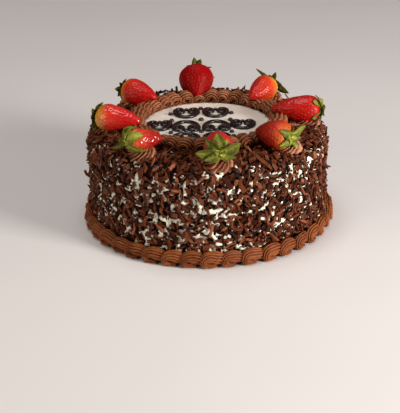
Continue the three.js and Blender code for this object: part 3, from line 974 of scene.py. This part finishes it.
SKINS = {k: berry_skin("berry_skin_" + k, *v) for k, v in {
    "a": ((0.55, 0.30, 0.12), (0.58, 0.09, 0.03), (0.50, 0.030, 0.022), (0.40, 0.012, 0.013), 0.3),
    "b": ((0.50, 0.30, 0.05), (0.44, 0.10, 0.014), (0.42, 0.022, 0.006), (0.20, 0.003, 0.003), 0.15),
    "c": ((0.55, 0.25, 0.05), (0.56, 0.07, 0.012), (0.52, 0.013, 0.005), (0.38, 0.005, 0.003), 0.2),
    "d": ((0.62, 0.46, 0.10), (0.58, 0.17, 0.018), (0.50, 0.030, 0.006), (0.40, 0.008, 0.004), 0.15),
    "e": ((0.55, 0.20, 0.10), (0.42, 0.02, 0.010), (0.32, 0.0025, 0.003), (0.24, 0.0015, 0.002), 0.0, 0.06),
    "f": ((0.48, 0.42, 0.07), (0.58, 0.16, 0.014), (0.48, 0.014, 0.004), (0.36, 0.004, 0.003), 0.1),
    "g": ((0.54, 0.36, 0.05), (0.66, 0.20, 0.022), (0.56, 0.024, 0.008), (0.45, 0.006, 0.005), 0.75),
    "h": ((0.66, 0.46, 0.16), (0.62, 0.17, 0.030), (0.50, 0.040, 0.012), (0.32, 0.006, 0.005), 0.5),
}.items()}


class Berry:
    def __init__(self, spec):
        self.name, a0, r0, z0, a1, r1, z1, self.W, self.p, self.q = spec
        self.base, self.tip = polar(a0, r0, z0), polar(a1, r1, z1)
        along = self.tip - self.base
        self.L = float(np.linalg.norm(along))
        self.ax = along / self.L
        # e2 is the berry's upper side, e1 lies level
        self.e1 = unit(np.cross(self.ax, [0, 0, 1.0]))
        self.e2 = np.cross(self.e1, self.ax)

    def skin(self, t):
        return self.W * np.maximum(0, np.sin(np.pi * np.clip(t, 0, 1) ** self.p)) ** self.q

    def point(self, t, psi, lift=0.0):
        """A point on the skin: t from the leaf end to the tip, psi round the axis from e1 towards e2."""
        t, psi = np.asarray(t, float), np.asarray(psi, float)
        d = 0.004
        r = self.skin(t)
        dr = (self.skin(t + d) - self.skin(t - d)) / ((np.clip(t + d, 0, 1) - np.clip(t - d, 0, 1)) * self.L)
        k = 1 / np.sqrt(1 + dr**2)
        rad = np.cos(psi)[..., None] * self.e1 + np.sin(psi)[..., None] * self.e2
        body = self.base + (t * self.L)[..., None] * self.ax + r[..., None] * rad
        nrm = rad * k[..., None] - self.ax * (dr * k)[..., None]
        return body + np.asarray(lift)[..., None] * nrm, nrm


def seed_places(b, rng):
    """(t, psi) of the seeds, on staggered rings about 3.2 mm apart."""
    t = np.linspace(0.0, 1, 400)
    r = b.skin(t)
    arc = np.concatenate([[0], np.cumsum(np.hypot(np.diff(r), np.diff(t) * b.L))])
    out = []
    row = 0
    s = 6.0
    while s < arc[-1] - 2.0:
        tt = np.interp(s, arc, t)
        rr = b.skin(tt)
        n = max(3, int(round(TAU * rr / 4.1)))
        for j in range(n):
            out.append((tt + rng.normal(0, 0.004), TAU * (j + 0.5 * (row % 2)) / n + row * 0.35 + rng.normal(0, 0.03)))
        row += 1
        s += 3.15
    return np.array(out)


seeds = Soup()


def make_berry(spec):
    b = Berry(spec)
    seed = ord(b.name)
    rng = np.random.default_rng(seed)
    n, m = 78, 92
    # rings packed where the skin turns quickly
    u = np.linspace(0, 1, n + 2)[1:-1]
    t = 0.5 - 0.5 * np.cos(np.pi * u)
    t = np.clip(t ** 1.15, 0.0006, 0.9994)
    psi = np.arange(m) / m * TAU
    T, P = np.meshgrid(t, psi, indexing="ij")
    co, nrm = b.point(T, P)
    lump = 0.45 * noise(co / 9.0 + seed, 31) + 0.22 * noise(co / 4.0 + seed, 32)
    sp = seed_places(b, rng)
    spots, snrm = b.point(sp[:, 0], sp[:, 1])
    flat = co.reshape(-1, 3)
    near = np.full(len(flat), 1e9)
    for lo in range(0, len(spots), 64):
        d = np.linalg.norm(flat[:, None] - spots[None, lo:lo + 64], axis=-1).min(1)
        near = np.minimum(near, d)
    near = near.reshape(n, m)
    dimple = -0.42 * np.exp(-(near / 0.95) ** 2) + 0.12 * smooth(1.0, 2.0, near)
    fade = smooth(0.0, 0.05, T) * smooth(1.0, 0.95, T)
    co = co + ((lump + dimple) * fade)[..., None] * nrm
    t0, t1, side = RIPE[b.name]
    lag = side * (0.6 * np.sin(P + 0.8) + 0.6 * noise(co / 11.0 + seed, 33))
    ripe = np.clip((T - t0 + lag) / (t1 - t0), 0, 1) ** 0.9
    soup = Soup()
    soup.shell(co, b.base, b.tip)
    soup.tone[-1] = np.concatenate([ripe.ravel(), [ripe[0].mean(), 1.0]])
    soup.make("strawberry_" + b.name + "_flesh", SKINS[b.name], ["strawberry_" + b.name])
    # teardrop seeds lying in the dimples, point towards the leaf end
    lobe = np.array([(-0.62, 0.0, 0.16), (-0.15, 0.34, 0.18), (0.42, 0.36, 0.18), (0.72, 0.0, 0.12), (0.42, -0.36, 0.18), (-0.15, -0.34, 0.18)])
    for (tt, ps), o, nn in zip(sp, spots, snrm):
        along = unit(b.ax - (b.ax @ nn) * nn)
        across = np.cross(nn, along)
        k = rng.uniform(0.66, 0.86)
        base = o - 0.38 * nn
        ring = [base + k * (x * along + y * across) + 0.02 * nn for x, y, _ in lobe * 1.15]
        mid = [base + k * (x * along + y * across) + 0.2 * nn for x, y, _ in lobe * 0.75]
        co2 = np.array([ring, mid])
        seeds.shell(co2[:, ::1], base - 0.2 * nn, base + 0.28 * nn, tone=float(rng.uniform(0, 1)))
    return b


berries = {spec[0]: make_berry(spec) for spec in BERRIES}
seeds.make("berry_seeds", SEED)

# ------------------------------------------------------------------------------------------------ leaf crowns

# Each leaf: turn round the berry's axis in degrees (0 level to its right hand looking from leaf end to tip, 90 up),
# length, half width, angle off the base plane towards the tip (negative stands back), curl, tone.
LEAVES = {
    "a": [(174, 21.0, 5.2, 8, -10, 0.36), (137, 18.0, 4.4, 36, 5, 0.40), (97, 19.0, 5.0, 52, 10, 0.42), (60, 13.5, 3.6, 48, 5, 0.44),
          (27, 19.0, 4.7, 16, -10, 0.40), (350, 12.4, 3.3, -8, -10, 0.40), (192, 14.0, 3.0, -15, -10, 0.32), (116, 12.5, 2.8, 44, 20, 0.28)],
    "b": [(20, 18.7, 3.0, -15, -25, 0.5), (28, 15.0, 3.4, 35, 10, 0.5), (140, 12.0, 3.6, 35, 20, 0.42), (204, 13.5, 3.4, 25, 20, 0.5),
          (300, 15.0, 3.0, -30, 10, 0.45), (272, 14.3, 3.0, 15, 20, 0.35), (344, 11.7, 2.8, -25, -20, 0.4)],
    "c": [(116, 14.0, 3.6, 10, 10, 0.62), (152, 10.0, 3.2, -35, 0, 0.55), (192, 11.0, 3.2, -25, 0, 0.5), (212, 14.0, 3.4, 0, 20, 0.5),
          (200, 11.7, 3.0, 60, 40, 0.42), (128, 11.7, 3.0, 55, 40, 0.5), (128, 9.0, 3.0, -10, 20, 0.6), (20, 13, 3.1, 20, 20, 0.4),
          (66, 14, 3.2, 25, 20, 0.45), (330, 13, 3.0, 15, 20, 0.35)],
    "d": [(52, 20.9, 1.5, 30, -5, 0.12), (204, 19.8, 3.8, -5, -15, 0.22), (168, 14.0, 2.6, 15, 10, 0.3), (104, 13.0, 1.6, 55, 20, 0.2),
          (112, 12.5, 2.2, -15, 0, 0.2), (200, 13.2, 3.0, -15, 0, 0.2), (224, 10.8, 3.0, 20, 10, 0.25), (0, 13, 3.0, 15, 15, 0.35), (320, 12, 3.0, 10, 20, 0.35)],
    "e": [(84, 16.5, 2.6, -15, 10, 0.42), (108, 15.4, 3.2, -10, 10, 0.22), (164, 16.0, 2.0, 0, 0, 0.25), (208, 21.6, 1.7, -10, 25, 0.05),
          (324, 19.8, 1.8, -35, 5, 0.05), (52, 15.4, 2.6, 25, 30, 0.2), (264, 13.2, 3.0, 40, 30, 0.2)],
    "f": [(72, 16.0, 1.3, 25, 30, 0.12), (16, 13.0, 2.4, -5, -10, 0.35), (344, 12.0, 2.4, 5, 10, 0.3), (320, 13.0, 2.6, 20, 30, 0.4),
          (56, 10.0, 1.8, -10, 0, 0.2), (132, 9.0, 2.0, 60, 30, 0.3), (0, 7.2, 2.4, 20, 0, 0.3), (180, 14, 3.0, 20, 15, 0.35), (228, 13, 3.1, 15, 20, 0.35)],
    "g": [(44, 15.3, 3.0, 5, 10, 0.14), (304, 15.0, 3.2, 25, 20, 0.42), (336, 10.0, 2.8, 0, 0, 0.15), (268, 13.0, 2.8, 35, 30, 0.4),
          (72, 13.2, 2.4, 25, 30, 0.25), (16, 10.0, 2.6, -5, 0, 0.12), (312, 14.3, 2.6, 5, 10, 0.2), (122, 14, 3.0, 20, 15, 0.35),
          (170, 14, 3.1, 15, 20, 0.35), (220, 13, 3.0, 20, 20, 0.35)],
    "h": [(224, 17.6, 2.8, -50, -20, 0.3), (156, 20.0, 5.0, 40, 35, 0.50), (40, 19.0, 4.6, 60, 35, 0.68), (340, 22.0, 3.4, 60, 35, 0.55),
          (172, 15.4, 3.8, -10, 25, 0.4), (248, 13.0, 3.0, 35, 25, 0.35), (196, 12.1, 3.0, -35, 0, 0.3), (108, 16, 4.4, 50, 30, 0.52)],
}


def leaf(soup, b, turn, length, half, lift, curl, tone, rng):
    a = math.radians(turn)
    out = math.cos(a) * b.e1 + math.sin(a) * b.e2
    across = np.cross(b.ax, out)
    n, m = 15, 7
    u = np.linspace(0, 1, n)
    ang = np.radians(lift) * (0.35 + 0.65 * u) + np.radians(curl) * (u**2)
    step = length / (n - 1)
    x = np.concatenate([[0], np.cumsum(step * np.cos(ang[:-1]))])
    y = np.concatenate([[0], np.cumsum(step * np.sin(ang[:-1]))])
    start = b.base - 0.9 * b.ax + out * 0.6
    mid = start + x[:, None] * out + y[:, None] * b.ax
    nrm = -np.cos(ang)[:, None] * b.ax + np.sin(ang)[:, None] * out
    w = 1.22 * half * ((u + 0.1) / 0.42) ** 0.45 * ((1 - u) / 0.68) ** 0.78 * (1 - 0.05 * np.sin(u * 29 + turn) * (u < 0.85))
    w = np.maximum(w, 0.06)
    v = np.linspace(-1, 1, m)
    bow = rng.uniform(0.2, 0.5) * half
    w = np.minimum(w, 1.08 * half + 0.6)
    top = mid[:, None] + (w[:, None] * v)[..., None] * across
    top += (bow * (v**2) * (w[:, None] / half) ** 2 - 0.22 * (1 - np.abs(v)) ** 2)[..., None] * nrm[:, None]
    top += ((rng.uniform(-0.6, 0.6) + 0.3 * np.sin(u * 8 + turn)[:, None]) * v * (w[:, None] / half))[..., None] * nrm[:, None]

    def clear(p, gap):
        """Pushes points that would sink into the berry out of its skin."""
        d = p - b.base
        y = d @ b.ax
        radial = d - y[..., None] * b.ax
        r = np.linalg.norm(radial, axis=-1)
        t = np.clip(y / b.L, 0, 1)
        rs = b.skin(t)
        inside = (y > -gap) & (r < rs + gap)
        table = np.linspace(0, 0.45, 200)
        rise = b.skin(table)
        k = int(np.argmax(rise))
        ys = np.interp(np.minimum(r, b.W - 0.01), rise[:k + 1], table[:k + 1] * b.L) - gap
        dx, dy = rs + gap - r, y - ys
        go_out = inside & (dx < dy)
        go_back = inside & ~go_out & (dy > 0)
        p = p + (np.where(go_out, dx, 0) / np.maximum(r, 0.1))[..., None] * radial
        return p - np.where(go_back, dy, 0)[..., None] * b.ax

    under = clear(top - 0.4 * nrm[:, None], 0.65)
    top = clear(top, 1.15)
    # one closed skin: the upper face and the lower face joined round the edge
    ring = np.concatenate([top, under[:, ::-1]], axis=1)
    shade = tone + 0.38 * (1 - smooth(0.0, 0.42, u)) + 0.04 * rng.normal()
    vein = 0.20 * (1 - np.abs(v)) ** 3 - 0.10 * np.abs(v)
    ribs = 0.07 * np.sin(u * 34 + turn)[:, None] * np.concatenate([np.abs(v), np.abs(v)])[None]
    ring_tone = np.clip(shade[:, None] - 0.04 + np.concatenate([vein, vein[::-1]])[None] + ribs + 0.09 * rng.normal(size=(n, 2 * m)), 0, 1)
    i0 = len(soup.co)
    soup.shell(ring[:, ::-1], ring[0].mean(0), ring[-1].mean(0))
    soup.tone[i0] = np.concatenate([ring_tone[:, ::-1].ravel(), [ring_tone[0].mean(), ring_tone[-1].mean()]])


def stub(soup, b, rng):
    """The short stem end in the middle of the crown."""
    n, m = 6, 10
    f = np.linspace(0, 1, n)
    ps = np.arange(m) / m * TAU
    rr = np.array([1.9, 1.7, 1.35, 1.2, 1.15, 0.7])
    mid = b.base + (0.4 - 3.1 * f)[:, None] * b.ax + (0.5 * f**2)[:, None] * b.e2
    co = mid[:, None] + rr[:, None, None] * (np.cos(ps)[None, :, None] * b.e1 + np.sin(ps)[None, :, None] * b.e2)
    soup.shell(co[:, ::-1], mid[0], mid[-1] - 0.2 * b.ax, tone=0.95)


def crown(b):
    soup = Soup()
    rng = np.random.default_rng(500 + ord(b.name))
    for turn, length, half, lift, curl, tone in LEAVES[b.name]:
        leaf(soup, b, turn, length, half, lift, curl, tone, rng)
    stub(soup, b, rng)
    soup.make("crown_" + b.name, LEAF, ["leaf_crown_" + b.name])


for b in berries.values():
    crown(b)

# ------------------------------------------------------------------------------------------------ rosettes under the berries

def rosette(letter, az, at, size):
    """Icing pressed down through a star nozzle and turned, its folds hanging over the coat."""
    seed = 700 + ord(letter)
    rng = np.random.default_rng(seed)
    lobes, n, per = 13, 28, 8
    m = lobes * per
    psi = np.arange(m) / m * TAU
    f = np.linspace(0, 1, n)
    rr = np.interp(f, [0, 0.08, 0.22, 0.45, 0.7, 0.88, 1], [0.93, 1.02, 1.05, 0.93, 0.66, 0.38, 0.12]) * (size - 0.2)
    zz = 88.4 + np.interp(f, [0, 0.08, 0.22, 0.45, 0.7, 0.88, 1], [0, 1.0, 3.0, 5.9, 8.0, 8.8, 9.0])
    turn = 1.7 * f + rng.uniform(0, TAU)
    start = rng.uniform(0, 3)
    # thin sharp ridges, some lower than others
    ridge = 1 - np.abs(np.sin(lobes * psi / 2)) ** 0.75
    uneven = 1 + 0.55 * noise(np.stack([psi / TAU * lobes + start, 0 * psi, 0 * psi], -1), seed)
    low = 1 - ridge * np.clip(uneven, 0.35, 1.3)
    depth = np.interp(f, [0, 0.2, 0.8, 1], [0.17, 0.22, 0.30, 0.22])
    ang = psi[None] + turn[:, None] + 0.10 * noise(np.stack([np.cos(psi) * 2 + 0 * f[:, None], np.sin(psi) * 2 + 0 * f[:, None], 3 * f[:, None] + 0 * psi], -1), seed + 5)
    wob = 1 + 0.09 * noise(np.stack([np.cos(ang) * 1.6, np.sin(ang) * 1.6, f[:, None] * 2 + 0 * ang], -1), seed)
    r = rr[:, None] * (1 - depth[:, None] * low[None]) * wob
    z = zz[:, None] - 1.7 * smooth(0.05, 0.5, f)[:, None] * low[None]
    c = polar(az, at, 0)
    co = np.stack([c[0] + r * np.cos(ang), c[1] + r * np.sin(ang), z], -1)
    # what hangs over the shoulder sinks with it
    out = np.hypot(co[..., 0], co[..., 1])
    over = np.clip((out - (WALL_R - FILLET + 1.0)) / FILLET, 0, 0.98)
    co[..., 2] -= FILLET * (1 - np.sqrt(1 - over**2)) * (1 - 0.75 * f[:, None])
    co = co + 0.45 * np.stack([noise(co / 2.6, seed + k) for k in range(3)], -1) + 0.24 * np.stack([noise(co / 1.2, seed + 5 + k) for k in range(3)], -1)
    soup = Soup()
    soup.shell(co, [c[0], c[1], 86.5], [c[0], c[1], zz[-1]])
    # The hollows between the ridges are painted darker and the crests paler, as painted shade and painted light.
    soup.tone[0] = np.concatenate([np.clip(1.0 - 0.9 * low[None] + 0 * ang + 0.08 * noise(co / 2.5, 3), 0, 1).ravel(), [0.5, 0.5]])
    soup.make("rosette_" + letter + "_piped", BUTTER_ROSE, ["rosette_" + letter])


for letter, place in ROSETTES.items():
    rosette(letter, *place)

# ------------------------------------------------------------------------------------------------ floor, light, camera

def floor():
    me = bpy.data.meshes.new("floor")
    n, size = 24, 3.2
    g = np.linspace(-size, size, n)
    X, Y = np.meshgrid(g, g, indexing="ij")
    co = np.stack([X, Y, 0 * X], -1).reshape(-1, 3)
    faces = [[i * n + j, (i + 1) * n + j, (i + 1) * n + j + 1, i * n + j + 1] for i in range(n - 1) for j in range(n - 1)]
    me.from_pydata(co.tolist(), [], faces)
    o = bpy.data.objects.new("floor", me)
    bpy.context.scene.collection.objects.link(o)
    me.materials.append(pale_floor())


floor()


def area(name, where, aim, size, power, colour):
    d = bpy.data.lights.new(name, "AREA")
    d.shape = "RECTANGLE"
    d.size, d.size_y = size
    d.energy = power
    d.color = colour
    o = bpy.data.objects.new(name, d)
    o.location = where
    o.rotation_mode = "QUATERNION"
    o.rotation_quaternion = (Vector(aim) - Vector(where)).to_track_quat("-Z", "Y")
    bpy.context.scene.collection.objects.link(o)


area("key", (1.15, -0.80, 0.50), (0, 0, 0.05), (0.42, 0.42), 31, (1.0, 0.95, 0.885))
area("fill", (-1.3, -0.9, 0.7), (0, 0, 0.05), (0.9, 0.9), 8.0, (1.0, 0.91, 0.76))
area("top", (-0.2, 0.1, 2.6), (0, 0, 0.05), (1.5, 1.4), 34, (1.0, 0.975, 0.945))

world = bpy.data.worlds.new("studio")
bpy.context.scene.world = world
world.use_nodes = True
bg = world.node_tree.nodes["Background"]
bg.inputs["Color"].default_value = (0.92, 0.82, 0.74, 1)
bg.inputs["Strength"].default_value = 0.09

scene = bpy.context.scene
scene.view_settings.view_transform = "Standard"
scene.view_settings.look = "None"

# The photograph's view: 24.9 degrees above level, almost a metre off, rolled a little
ELEVATION, DISTANCE, ROLL = 24.89, 0.99984, -1.14
TARGET = np.array([-0.00812, 0.0, 0.00546])
FOCAL_PX, LONG_SIDE_PX = 1035.12, 413
cam = bpy.data.cameras.new("camera")
cam.sensor_width = 36
cam.sensor_fit = "AUTO"
cam.lens = FOCAL_PX / LONG_SIDE_PX * 36
cam.clip_start, cam.clip_end = 0.05, 20
eye = bpy.data.objects.new("camera", cam)
e, roll = math.radians(ELEVATION), math.radians(ROLL)
back = np.array([0, -math.cos(e), math.sin(e)])
x0 = np.array([1.0, 0, 0])
y0 = np.cross(back, x0)
x = math.cos(roll) * x0 + math.sin(roll) * y0
y = -math.sin(roll) * x0 + math.cos(roll) * y0
m = Matrix([[*row, 0] for row in np.stack([x, y, back], 1)] + [[0, 0, 0, 1]])
m.translation = Vector(TARGET + back * DISTANCE)
eye.matrix_world = m
scene.collection.objects.link(eye)
scene.camera = eye

bpy.context.view_layer.update()
